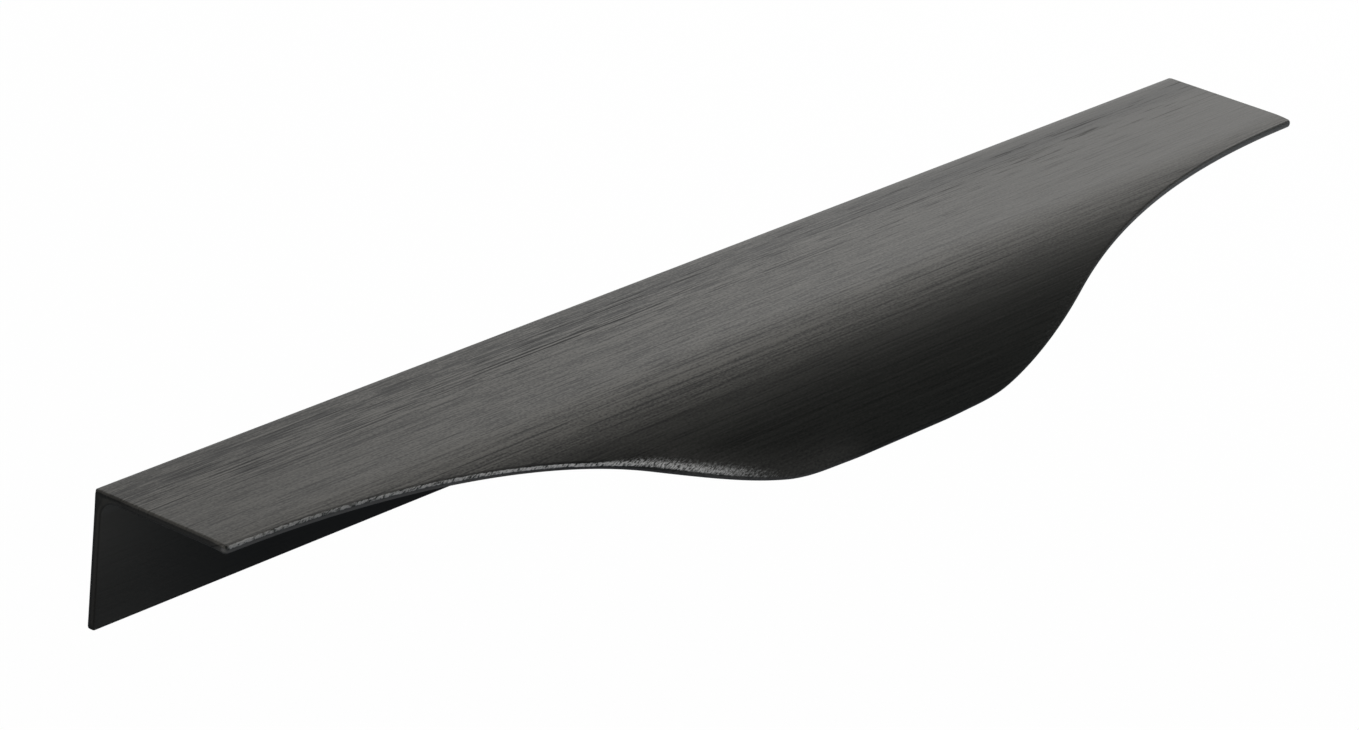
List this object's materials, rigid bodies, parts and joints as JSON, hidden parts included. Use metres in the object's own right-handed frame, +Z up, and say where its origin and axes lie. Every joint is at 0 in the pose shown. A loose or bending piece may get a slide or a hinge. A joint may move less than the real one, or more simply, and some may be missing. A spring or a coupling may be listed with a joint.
{
  "type": "profile handle",
  "caption": "Edge-mounted pull handle: a thin angle profile whose flange curls down in the middle into a finger lip, trimmed by a long S-curve on each side.",
  "frame": {"origin": "midpoint between the two screw holes, on the face of the leg that touches the back of the board", "axes": "+X along the handle, +Y to the back, out of the back of the board, +Z up; the lip faces -Y"},
  "size_m": [0.2, 0.0337, 0.0164],
  "materials": {
    "brushed_anodised": "black anodised aluminium, brushed along its length, satin"
  },
  "bodies": {
    "root": {"profile_handle": "brushed_anodised"}
  },
  "joints": []
}
